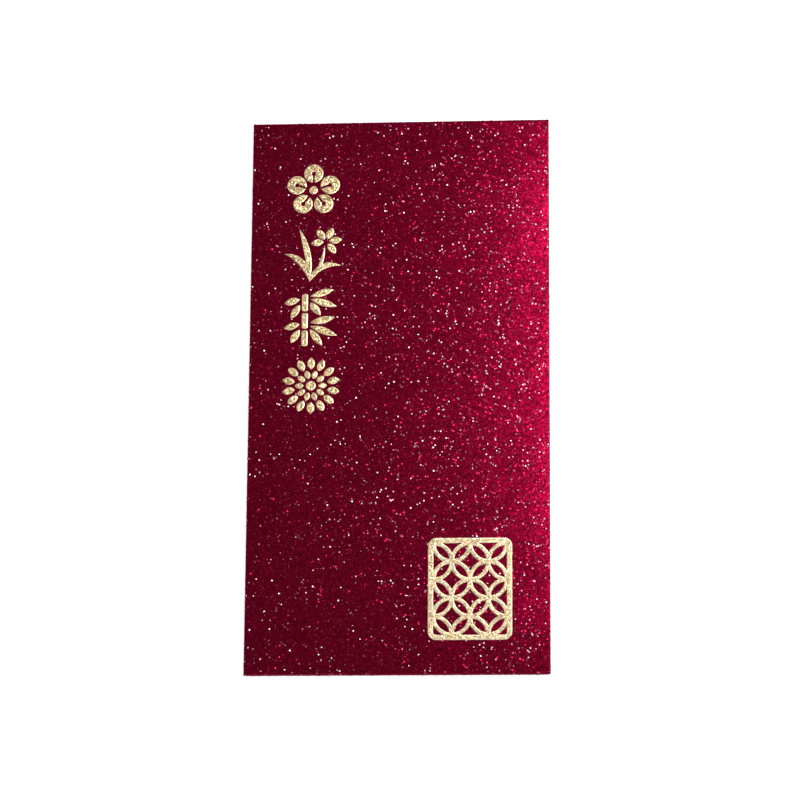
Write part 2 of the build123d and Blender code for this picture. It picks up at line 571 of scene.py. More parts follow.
class Bench:
    """One mesh under the hand, from its primitive to the finished piece."""

    def __init__(self, name: str) -> None:
        """Take the primitive that was just added, with its place put into its mesh."""
        self.obj = bpy.context.active_object
        self.obj.name = name
        self.obj.data.name = name
        bpy.ops.object.transform_apply(location=True, rotation=True, scale=True)

    @staticmethod
    def clear() -> None:
        """Deselect everything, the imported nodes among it."""
        bpy.ops.object.select_all(action="DESELECT")

    @classmethod
    def sheet(cls, name: str, low: Vector, high: Vector, columns: int, rows: int) -> "Bench":
        """Lay a flat grid at the upper level of a box.

        Args:
            name: The piece's name.
            low: Lowest corner of the box.
            high: Highest corner of the box.
            columns: Faces along X.
            rows: Faces along Y.

        Returns:
            The bench that holds it.
        """
        cls.clear()
        middle = (low + high) / 2
        spot = (middle.x, middle.y, high.z)
        bpy.ops.mesh.primitive_grid_add(
            x_subdivisions=columns, y_subdivisions=rows, size=1.0, location=spot
        )
        bpy.context.active_object.scale = (high.x - low.x, high.y - low.y, 1.0)
        return cls(name)

    @classmethod
    def half_tube(
        cls, name: str, axis: Vector, radius: float, turn: Sequence[float], out: Vector, run: Vector
    ) -> "Bench":
        """Draw half a circle and run it along its axis.

        Args:
            name: The piece's name.
            axis: The middle of the half circle at the start of the run.
            radius: Its radius.
            turn: Rotation of the circle from the XY plane.
            out: The side that the half circle bulges to.
            run: How far it is extruded.

        Returns:
            The bench that holds it.
        """
        cls.clear()
        bpy.ops.mesh.primitive_circle_add(
            vertices=CIRCLE_POINTS, radius=radius, fill_type="NOTHING", location=axis, rotation=turn
        )
        bench = cls(name)
        bench.press(axis, out, radius)
        bench.edit()
        bench.pick_points(lambda point: (point - axis).dot(out) < -0.01 * radius)
        bpy.ops.mesh.delete(type="VERT")
        bpy.ops.mesh.select_all(action="SELECT")
        bpy.ops.mesh.extrude_region_move(TRANSFORM_OT_translate={"value": run})
        bench.face_out(lambda middle: middle - axis)
        return bench

    def press(self, axis: Vector, out: Vector, radius: float) -> None:
        """Press a round crease crisp, so that its two sheets stay flat nearly to the edge.

        Args:
            axis: A point on the axis of the round.
            out: The side that the crease bulges to.
            radius: The radius of the round.
        """
        points = points_of(self.obj) - np.array(axis)
        for way in (np.array(out), np.array((0.0, 0.0, 1.0))):
            share = points @ way / radius
            pressed = np.sign(share) * np.abs(share) ** (2.0 / CRISPNESS)
            points += np.outer((pressed - share) * radius, way)
        set_points(self.obj, points + np.array(axis))

    def edit(self) -> None:
        """Go into edit mode on this piece alone."""
        hold(self.obj)
        bpy.ops.object.mode_set(mode="EDIT")

    @staticmethod
    def leave() -> None:
        """Go back to object mode."""
        bpy.ops.object.mode_set(mode="OBJECT")

    def _mesh(self, kind: str) -> bmesh.types.BMesh:
        """The mesh in edit mode, with nothing selected.

        Args:
            kind: The select mode.

        Returns:
            The mesh.
        """
        bpy.ops.mesh.select_mode(type=kind)
        bpy.ops.mesh.select_all(action="DESELECT")
        mesh = bmesh.from_edit_mesh(self.obj.data)
        mesh.normal_update()
        return mesh

    def _show(self, mesh: bmesh.types.BMesh) -> None:
        """Make a selection made in code the one that operators act on."""
        mesh.select_flush_mode()
        bmesh.update_edit_mesh(self.obj.data)

    def pick_points(self, test: Callable[[Vector], bool]) -> None:
        """Select points.

        Args:
            test: What the place of a point must pass.
        """
        mesh = self._mesh("VERT")
        for vert in mesh.verts:
            vert.select = test(vert.co)
        self._show(mesh)

    def pick_edges(self, test: Callable[[Vector, Vector], bool], bend: float = 0.0) -> None:
        """Select edges.

        Args:
            test: What the two ends of an edge must pass.
            bend: The least angle between the faces at the edge.
        """
        mesh = self._mesh("EDGE")
        for edge in mesh.edges:
            start, end = (vert.co for vert in edge.verts)
            bent = bend == 0.0 or (edge.is_manifold and edge.calc_face_angle() >= bend)
            edge.select = bent and test(start, end)
        self._show(mesh)

    def face_out(self, outward: Callable[[Vector], Vector]) -> None:
        """Make the faces agree and point the given way.

        Args:
            outward: The outward direction at the middle of a face.
        """
        bpy.ops.mesh.select_all(action="SELECT")
        bpy.ops.mesh.remove_doubles(threshold=WELD)
        bpy.ops.mesh.normals_make_consistent(inside=False)
        mesh = bmesh.from_edit_mesh(self.obj.data)
        mesh.normal_update()
        agreed = sum(f.normal.dot(outward(f.calc_center_median())) * f.calc_area() for f in mesh.faces)
        if agreed < 0.0:
            bpy.ops.mesh.flip_normals()

    def modify(self, kind: str, **settings: object) -> None:
        """Add a modifier and apply it.

        Args:
            kind: Its type.
            settings: Its properties.
        """
        hold(self.obj)
        modifier = self.obj.modifiers.new(kind.title(), kind)
        for key, value in settings.items():
            setattr(modifier, key, value)
        bpy.ops.object.modifier_apply(modifier=modifier.name)

    def thicken(self, thickness: float, finishes: Sequence[bpy.types.Material]) -> None:
        """Give the sheet its thickness, away from its outside.

        Args:
            thickness: The sheet's thickness.
            finishes: Its outside, inside and cut edge.
        """
        for finish in finishes:
            self.obj.data.materials.append(finish)
        self.modify(
            "SOLIDIFY",
            thickness=thickness,
            offset=-1.0,
            use_even_offset=True,
            material_offset=Layer.INSIDE.value,
            material_offset_rim=Layer.EDGE.value,
        )

    def round_edges(self, test: Callable[[Vector, Vector], bool], width: float) -> None:
        """Break cut edges.

        Args:
            test: What the two ends of an edge must pass.
            width: How much is taken off.
        """
        self.edit()
        self.pick_edges(test, bend=CUT_BEND)
        bpy.ops.mesh.bevel(offset=width, segments=2, affect="EDGES", clamp_overlap=True)
        self.leave()

    def smooth(self) -> None:
        """Shade the bends smooth, with the large flat faces left flat."""
        hold(self.obj)
        bpy.ops.object.shade_smooth_by_angle(angle=SHEET_SMOOTH)
        self.modify("WEIGHTED_NORMAL", keep_sharp=True)


def hold_number(obj: bpy.types.Object, name: str, numbers: Sequence[float]) -> None:
    """Keep one number per point on a mesh, for its material to read."""
    held = obj.data.attributes.new(name, "FLOAT", "POINT")
    held.data.foreach_set("value", np.asarray(numbers, np.float32))


def mark_crease(obj: bpy.types.Object, bulge: np.ndarray) -> None:
    """Keep how near each point of a crease is to its edge, where the film wears."""
    hold_number(obj, CREASE, np.clip(bulge, 0.0, 1.0) ** WEAR_FOCUS)


def points_of(obj: bpy.types.Object) -> np.ndarray:
    """Read the points of a mesh.

    Args:
        obj: The mesh's object.

    Returns:
        One row for each point.
    """
    flat = np.zeros(len(obj.data.vertices) * 3, np.float32)
    obj.data.vertices.foreach_get("co", flat)
    return flat.reshape(-1, 3).astype(float)


def set_points(obj: bpy.types.Object, points: np.ndarray) -> None:
    """Move the points of a mesh to new places, one row each."""
    obj.data.vertices.foreach_set("co", points.astype(np.float32).ravel())
    obj.data.update()


def unit(rows: np.ndarray) -> np.ndarray:
    """Bring every row to a length of 1."""
    return rows / np.linalg.norm(rows, axis=1)[:, None]


def outside_of(paper: bpy.types.Object) -> np.ndarray:
    """The triangles on a paper piece's outside, in an order that their places alone decide.

    Args:
        paper: The paper piece.

    Returns:
        Three points for each triangle, from its lowest corner on.
    """
    triangles = paper.data.loop_triangles
    paper.data.calc_loop_triangles()
    layers = np.zeros(len(triangles), np.int32)
    corners = np.zeros(len(triangles) * 3, np.int32)
    triangles.foreach_get("material_index", layers)
    triangles.foreach_get("vertices", corners)
    found = points_of(paper)[corners.reshape(-1, 3)[layers == Layer.OUTSIDE.value]]
    ordered = []
    for triangle in found.round(8).tolist():
        lowest = triangle.index(min(triangle))
        ordered.append(triangle[lowest:] + triangle[:lowest])
    return np.array(sorted(ordered))


@dataclass(frozen=True)
class SheetWave:
    """The slight unevenness of the front sheet, still along its folds."""

    half_width: float
    half_height: float
    rise: float = 0.10 * MM
    ripple: float = 0.035 * MM
    crossed: tuple[float, float] = (78.0, 61.0)
    slanted: tuple[float, float] = (31.0, 97.0)

    def height(self, x: np.ndarray, y: np.ndarray) -> np.ndarray:
        """How far the sheet stands above its flat place.

        Args:
            x: Places across the sheet.
            y: Places along the sheet.

        Returns:
            The heights.
        """
        across = np.clip(1.0 - (x / self.half_width) ** 2, 0.0, 1.0)
        along = np.clip(1.0 - (y / self.half_height) ** 2, 0.0, 1.0)
        ripples = np.sin(x * self.crossed[0] + 0.6) * np.cos(y * self.crossed[1] - 0.4)
        ripples = ripples + 0.6 * np.sin(x * self.slanted[0] - y * self.slanted[1])
        return across * along * (self.rise + self.ripple * ripples)


@dataclass
class PaperPocket:
    """The folded and glued sheet without its closing flap."""

    finishes: Sequence[bpy.types.Material]
    glue: bpy.types.Material
    wave: SheetWave
    edge_break: float = 0.05 * MM
    step_softness: float = 0.7 * MM
    bottom_taper: float = 6.0 * MM
    bottom_corner: float = 2.5 * MM
    front_faces: tuple[int, int] = (54, 102)
    back_faces: tuple[int, int] = (6, 12)

    def build(self) -> list[bpy.types.Object]:
        """Build every paper piece of the pocket and dress its glue.

        Returns:
            The new pieces.
        """
        pieces = [
            self.front_sheet(),
            self.side_fold(Side.LEFT),
            self.side_fold(Side.RIGHT),
            self.left_back_sheet(),
            self.right_back_sheet(),
        ]
        bottom = FoldedFlap(
            "bottom_closure", End.BOTTOM, self.finishes, self.bottom_taper, self.bottom_corner
        )
        pieces.append(bottom.build())
        for piece in pieces:
            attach(piece, POCKET)
        for node in ("back_seam_glue", "bottom_flap_glue"):
            self.dress_glue(node)
        return pieces

    def thickness(self) -> float:
        """The sheet's thickness."""
        low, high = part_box("front_panel")
        return high.z - low.z

    def front_sheet(self) -> bpy.types.Object:
        """Build the decorated front, slightly uneven between its folds.

        Returns:
            The piece.
        """
        low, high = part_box("front_panel")
        bench = Bench.sheet("front_sheet", low, high, *self.front_faces)
        points = points_of(bench.obj)
        points[:, 2] += self.wave.height(points[:, 0], points[:, 1])
        set_points(bench.obj, points)
        bench.thicken(high.z - low.z, self.finishes)
        bench.smooth()
        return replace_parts(bench.obj, "front_panel")

    def side_fold(self, side: Side) -> bpy.types.Object:
        """Build the pressed crease along one long side.

        Args:
            side: Which side.

        Returns:
            The piece.
        """
        node = f"{side.name.lower()}_side_fold"
        low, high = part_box(node)
        radius = (high.z - low.z) / 2
        edge_x = high.x if side is Side.RIGHT else low.x
        axis = Vector((edge_x - side.value * radius, low.y, low.z + radius))
        out = Vector((side.value, 0.0, 0.0))
        run = Vector((0.0, high.y - low.y, 0.0))
        bench = Bench.half_tube(f"{node}_crease", axis, radius, (math.pi / 2, 0.0, 0.0), out, run)
        bench.leave()
        self.reach_corners(bench.obj)
        bench.thicken(self.thickness(), self.finishes)
        bench.smooth()
        mark_crease(bench.obj, (points_of(bench.obj)[:, 0] - axis.x) * side.value / radius)
        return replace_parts(bench.obj, node)

    def reach_corners(self, crease: bpy.types.Object) -> None:
        """Run both ends of a side crease on to the envelope's corners.

        Args:
            crease: The side crease, still without thickness.
        """
        points = points_of(crease)
        points[:, 1] = np.sign(points[:, 1]) * (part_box("top_fold")[1].y - self.edge_break)
        set_points(crease, points)

    def left_back_sheet(self) -> bpy.types.Object:
        """Build the left back panel with its step up and its lap, in one sheet.

        Returns:
            The piece.
        """
        low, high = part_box("left_back_panel")
        lap_low, lap_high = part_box("seam_lap")
        level = Vector((high.x, high.y, low.z))
        bench = Bench.sheet("left_back_sheet", low, level, 1, 1)
        bench.edit()
        self.extend(bench, high.x, (lap_low.x - high.x, 0.0, lap_low.z - low.z))
        self.extend(bench, lap_low.x, (lap_high.x - lap_low.x, 0.0, 0.0))
        bench.pick_edges(
            lambda a, b: abs(a.x - b.x) < WELD and any(abs(a.x - x) < TOUCH for x in (high.x, lap_low.x))
        )
        bpy.ops.mesh.bevel(offset=self.step_softness, segments=4, affect="EDGES")
        bench.face_out(lambda middle: DOWN)
        bench.leave()
        return self.finish_back(bench, low.x, ("left_back_panel", "seam_step", "seam_lap"))

    def right_back_sheet(self) -> bpy.types.Object:
        """Build the right back panel, which is glued over the lap.

        Returns:
            The piece.
        """
        low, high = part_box("right_back_panel")
        level = Vector((high.x, high.y, low.z))
        bench = Bench.sheet("right_back_sheet", low, level, *self.back_faces)
        bench.edit()
        bench.face_out(lambda middle: DOWN)
        bench.leave()
        return self.finish_back(bench, high.x, ("right_back_panel",))

    def finish_back(self, bench: Bench, fold_x: float, nodes: Sequence[str]) -> bpy.types.Object:
        """Thicken a back panel and break its cut edges.

        Args:
            bench: The flat panel.
            fold_x: Where it meets its side fold, which is no cut edge.
            nodes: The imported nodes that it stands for.

        Returns:
            The finished panel.
        """
        bench.thicken(self.thickness(), self.finishes)
        bench.round_edges(
            lambda a, b: abs(a.x - fold_x) > TOUCH or abs(b.x - fold_x) > TOUCH, self.edge_break
        )
        bench.smooth()
        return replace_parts(bench.obj, *nodes)

    @staticmethod
    def extend(bench: Bench, edge_x: float, run: Sequence[float]) -> None:
        """Extrude the edge at one X."""
        bench.pick_edges(lambda a, b: abs(a.x - edge_x) < TOUCH and abs(b.x - edge_x) < TOUCH)
        bpy.ops.mesh.extrude_region_move(TRANSFORM_OT_translate={"value": run})

    def dress_glue(self, node: str) -> None:
        """Give a glue film its finish.

        Args:
            node: The film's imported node, which stays.
        """
        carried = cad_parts[node]
        for slot in carried.material_slots:
            slot.material = self.glue
        LOG.info("%s: packed shape, glue finish", node)

    def covered(self, spots: np.ndarray) -> np.ndarray:
        """Tell which places on the back lie under the lap or the glued bottom flap.

        Args:
            spots: The places.

        Returns:
            True for each place that is covered.
        """
        lap_low, lap_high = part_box("seam_lap")
        flap_low, flap_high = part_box("bottom_flap")
        x, y, z = spots.T
        lapped = (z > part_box("right_back_panel")[1].z) & (x > lap_low.x) & (x < lap_high.x)
        drawn_in = self.bottom_taper * (y - flap_low.y) / (flap_high.y - flap_low.y)
        under = (y > flap_low.y) & (y < flap_high.y) & (np.abs(x) < flap_high.x - drawn_in)
        return lapped | (under & (z > flap_high.z))


@dataclass
class FoldedFlap:
    """A flap and the crease that joins it to the front, in one sheet."""

    name: str
    end: End
    finishes: Sequence[bpy.types.Material]
    taper: float
    corner: float
    edge_break: float = 0.05 * MM
    slit: float = 0.18 * MM

    def build(self) -> bpy.types.Object:
        """Build the creased flap, a little wider than packed so that its slits close to a hairline.

        Returns:
            The piece, which stands for its fold and its flap.
        """
        word = self.end.name.lower()
        nodes = (f"{word}_fold", f"{word}_flap")
        low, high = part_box(nodes[0])
        flap_low, flap_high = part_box(nodes[1])
        sign = self.end.value
        radius = (high.z - low.z) / 2
        outer_y = high.y if self.end is End.TOP else low.y
        free_y = flap_low.y if self.end is End.TOP else flap_high.y
        axis = Vector((low.x - self.slit, outer_y - sign * radius, low.z + radius))
        run = Vector((high.x - low.x + 2.0 * self.slit, 0.0, 0.0))
        out = Vector((0.0, sign, 0.0))
        bench = Bench.half_tube(self.name, axis, radius, (0.0, math.pi / 2, 0.0), out, run)
        bench.pick_edges(lambda a, b: a.z < TOUCH and b.z < TOUCH)
        reach = free_y - axis.y
        bpy.ops.mesh.extrude_region_move(TRANSFORM_OT_translate={"value": (0.0, reach, 0.0)})
        share = (high.x - self.taper) / (high.x + self.slit)
        bpy.ops.transform.resize(value=(share, 1.0, 1.0), center_override=(0.0, free_y, low.z))
        bench.pick_points(lambda point: abs(point.y - free_y) < TOUCH)
        lean = math.pi / 2 + math.atan(self.taper / abs(reach))
        bpy.ops.mesh.bevel(
            offset=self.corner / math.tan(lean / 2), segments=6, affect="VERTICES", clamp_overlap=False
        )
        bench.face_out(lambda middle: self.outward(middle, axis))
        bench.leave()
        bench.thicken(flap_high.z - flap_low.z, self.finishes)
        bench.round_edges(lambda a, b: self.is_cut(a, b, axis), self.edge_break)
        bench.smooth()
        mark_crease(bench.obj, (points_of(bench.obj)[:, 1] - axis.y) * sign / radius)
        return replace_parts(bench.obj, *nodes)

    def is_cut(self, start: Vector, end: Vector, axis: Vector) -> bool:
        """Tell whether an edge is a cut one, below the middle of the crease and not along its bend."""
        along_bend = abs(start.x - end.x) > TOUCH and (start.y - axis.y) * self.end.value > TOUCH
        return min(start.z, end.z) < axis.z and not along_bend

    def outward(self, middle: Vector, axis: Vector) -> Vector:
        """Find the outward direction: down on the flap, away from the axis on the crease.

        Args:
            middle: The middle of a face.
            axis: A point on the axis of the crease.

        Returns:
            The direction.
        """
        if (middle.y - axis.y) * self.end.value < 0.0:
            return DOWN
        return Vector((0.0, middle.y - axis.y, middle.z - axis.z))


@dataclass
class ClosingFlap:
    """The loose flap that closes the mouth, on its living hinge."""

    finishes: Sequence[bpy.types.Material]
    taper: float = 5.0 * MM
    corner: float = 4.0 * MM

    def build(self) -> bpy.types.Object:
        """Build the flap.

        Returns:
            The piece.
        """
        piece = FoldedFlap("closing_flap", End.TOP, self.finishes, self.taper, self.corner).build()
        return self.hang(piece)

    @staticmethod
    def hang(piece: bpy.types.Object) -> bpy.types.Object:
        """Put a piece's place into its mesh.

        Args:
            piece: A piece that crosses the hinge or lies on the flap.

        Returns:
            The piece.
        """
        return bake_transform(piece)


@dataclass(frozen=True)
class Relief:
    """The section of stamped foil from its outline to its middle."""

    lip: float = 0.02 * MM
    rim: float = 0.36 * MM
    crest: float = 1.4
    dip: float = 0.05 * MM
    slope: float = 0.55 * MM
    grain: float = 0.012 * MM
    spacing: float = 0.18 * MM
    margin: float = 0.45
    root: float = 0.03 * MM
    # How far into the foil, in rim widths, the rim's burnish and painted highlight reach.
    burnish_and_highlight: float = 1.6


@dataclass
class FoilStamp:
    """One stamped ornament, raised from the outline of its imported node."""

    node: str
    finish: bpy.types.Material
    relief: Relief
    wave: SheetWave
    seed: int

    def __post_init__(self) -> None:
        """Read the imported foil's walls and the ground that it covers."""
        self.low, self.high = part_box(self.node)
        self.middle_z = (self.low.z + self.high.z) / 2
        self.mesh = bmesh.new()
        self.mesh.from_mesh(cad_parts[self.node].data)
        bmesh.ops.remove_doubles(self.mesh, verts=self.mesh.verts, dist=TOUCH)
        self.mesh.verts.index_update()
        points = [vert.co.copy() for vert in self.mesh.verts]
        upright = [f for f in self.mesh.faces if abs(f.normal.z) < 0.5]
        self.walls = BVHTree.FromPolygons(points, [[v.index for v in f.verts] for f in upright])
        self.cover = BVHTree.FromBMesh(self.mesh)

    def build(self) -> bpy.types.Object:
        """Raise the foil inside its outline.

        Returns:
            The piece.
        """
        points, edges = self.outline()
        spots, faces = self.fill(points, edges, self.inner_points(points))
        far = self.depth(spots)
        base = self.low.z + self.wave.height(spots[:, 0], spots[:, 1])
        roof = np.column_stack((spots, base + self.crown(far)))
        floor = np.column_stack((spots, base - self.relief.root))
        obj = self.close(roof, floor, faces)
        # How far each point is burnished and painted lighter as a highlight: full near the outline, fading
        # inward.
        rubbed = np.clip(self.relief.burnish_and_highlight - far / self.relief.rim, 0.0, 1.0)
        hold_number(obj, BURNISH_AND_HIGHLIGHT, np.tile(rubbed, 2))
        obj.data.materials.append(self.finish)
        hold(obj)
        bpy.ops.object.shade_smooth_by_angle(angle=FOIL_SMOOTH)
        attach(obj, POCKET)
        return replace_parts(obj, self.node)

    def outline(self) -> tuple[np.ndarray, np.ndarray]:
        """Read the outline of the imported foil's top, cut into short edges.

        Returns:
            The outline's points and its edges as pairs of point numbers.
        """
        top = self.high.z
        roof = {f for f in self.mesh.faces if all(abs(v.co.z - top) < TOUCH for v in f.verts)}
        rim = [e for e in self.mesh.edges if sum(f in roof for f in e.link_faces) == 1]
        numbers: dict[int, int] = {}
        points: list[tuple[float, float]] = []
        edges: list[tuple[int, int]] = []
        for edge in rim:
            ends = []
            for vert in edge.verts:
                if vert.index not in numbers:
                    numbers[vert.index] = len(points)
                    points.append((vert.co.x, vert.co.y))
                ends.append(numbers[vert.index])
            cuts = max(1, math.ceil(edge.calc_length() / self.relief.spacing))
            chain = [ends[0]]
            for step in range(1, cuts):
                spot = edge.verts[0].co.lerp(edge.verts[1].co, step / cuts)
                chain.append(len(points))
                points.append((spot.x, spot.y))
            chain.append(ends[1])
            edges.extend(zip(chain, chain[1:]))
        return np.array(points), np.array(edges)

    def inside(self, spots: np.ndarray) -> np.ndarray:
        """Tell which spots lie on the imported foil, seen from above.

        Args:
            spots: Places across and along.

        Returns:
            True for each spot on the foil.
        """
        above = self.high.z + MM
        hits = [self.cover.ray_cast(Vector((x, y, above)), DOWN)[0] for x, y in spots.tolist()]
        return np.array([hit is not None for hit in hits], bool)

    def depth(self, spots: np.ndarray) -> np.ndarray:
        """How far each spot is from the outline."""
        level = self.middle_z
        return np.array([self.walls.find_nearest(Vector((x, y, level)))[3] for x, y in spots.tolist()])

    def inner_points(self, points: np.ndarray) -> np.ndarray:
        """Lay a fine triangular net inside the outline.

        Args:
            points: The outline's points.

        Returns:
            The points of the net.
        """
        step = self.relief.spacing
        low, high = points.min(0), points.max(0)
        rows = np.arange(low[1], high[1], step * math.sqrt(3.0) / 2)
        columns = np.arange(low[0], high[0], step)
        x, y = np.meshgrid(columns, rows)
        x = x + (np.arange(len(rows)) % 2)[:, None] * step / 2
        net = np.column_stack((x.ravel(), y.ravel()))
        net = net[self.inside(net)]
        return net[self.depth(net) > self.relief.margin * step]

    def fill(
        self, points: np.ndarray, edges: np.ndarray, inner: np.ndarray
    ) -> tuple[np.ndarray, np.ndarray]:
        """Fill the outline with triangles over all its points.

        Args:
            points: The outline's points.
            edges: The outline's edges.
            inner: The points inside.

        Returns:
            The points of the net and its triangles.
        """
        middle = points.mean(0)
        spread = [Vector(spot) for spot in (np.vstack((points, inner)) - middle) / MM]
        netted = delaunay_2d_cdt(spread, [tuple(map(int, e)) for e in edges], [], 1, TOUCH)
        spots = np.array([(v.x, v.y) for v in netted[0]]) * MM + middle
        faces = np.array([f for f in netted[2] if len(f) == 3])
        kept = self.inside(spots[faces].mean(1))
        return spots, faces[kept]

    def crown(self, far: np.ndarray) -> np.ndarray:
        """Heights of the foil over the paper: a sloping rim about a grainy, slightly sunken middle.

        Args:
            far: How far each point of the net is from the outline.

        Returns:
            One height for each point.
        """
        relief = self.relief
        rise = self.high.z - self.low.z
        climb = 1.0 - (1.0 - np.clip(far / relief.rim, 0.0, 1.0)) ** relief.crest
        sink = np.clip((far - relief.rim) / relief.slope, 0.0, 1.0)
        sink = sink * sink * (3.0 - 2.0 * sink)
        tooth = np.random.default_rng(self.seed).normal(0.0, relief.grain, len(far))
        level = relief.lip + (rise - relief.lip) * climb - relief.dip * sink
        return np.minimum(level + tooth * climb, rise)

    def close(self, roof: np.ndarray, floor: np.ndarray, faces: np.ndarray) -> bpy.types.Object:
        """Join the foil's top and underside by a wall along its outline.

        Args:
            roof: Points of the top.
            floor: Points of the underside, in the same order.
            faces: Triangles over them.

        Returns:
            The closed piece.
        """
        spots = roof[:, :2]
        first, second, third = (spots[faces[:, corner]] for corner in range(3))
        turn = np.cross(second - first, third - first)
        faces = np.where((turn < 0.0)[:, None], faces[:, ::-1], faces)
        sides = np.vstack((faces[:, (0, 1)], faces[:, (1, 2)], faces[:, (2, 0)]))
        known = {tuple(side) for side in sides.tolist()}
        rim = [side for side in known if side[::-1] not in known]
        count = len(roof)
        walls = [(b, a, a + count, b + count) for a, b in sorted(rim)]
        under = (faces[:, ::-1] + count).tolist()
        name = f"{self.node}_relief"
        mesh = bpy.data.meshes.new(name)
        mesh.from_pydata(np.vstack((roof, floor)).tolist(), [], faces.tolist() + under + walls)
        mesh.validate()
        return add_object(name, mesh)


@dataclass
class FoilOrnaments:
    """The column of four flowers and the seal."""

    wave: SheetWave
    column: Sequence[str] = ("plum_blossom_foil", "orchid_foil", "bamboo_foil", "chrysanthemum_foil")
    seal: str = "seal_foil"

    def build(self) -> list[FoilStamp]:
        """Build every ornament.

        Returns:
            The stamps, whose outlines keep the flakes off the foil.
        """
        flower_gold = GoldFoilFinish("gold_foil_flowers").make()
        pale, tan = (1.0, 0.865, 0.60), (0.68, 0.42, 0.17)
        seal_gold = GoldFoilFinish("gold_foil_seal", pale, tan, lean=0.8, roughness=0.38).make()
        stamps = [
            FoilStamp(node, flower_gold, Relief(), self.wave, seed)
            for seed, node in enumerate(self.column)
        ]
        flat = Relief(rim=0.34 * MM, dip=0.02 * MM, grain=0.016 * MM)
        stamps.append(FoilStamp(self.seal, seal_gold, flat, self.wave, len(stamps)))
        for stamp in stamps:
            piece = stamp.build()
            LOG.info("%s: %d faces", piece.name, len(piece.data.polygons))
        return stamps


@dataclass(frozen=True)
class FlakeKind:
    """One kind of flake in the glitter coat."""

    name: str
    finish: FlakeFinish
    density: float
    small: float
    large: float
    lean: float
    sides: int


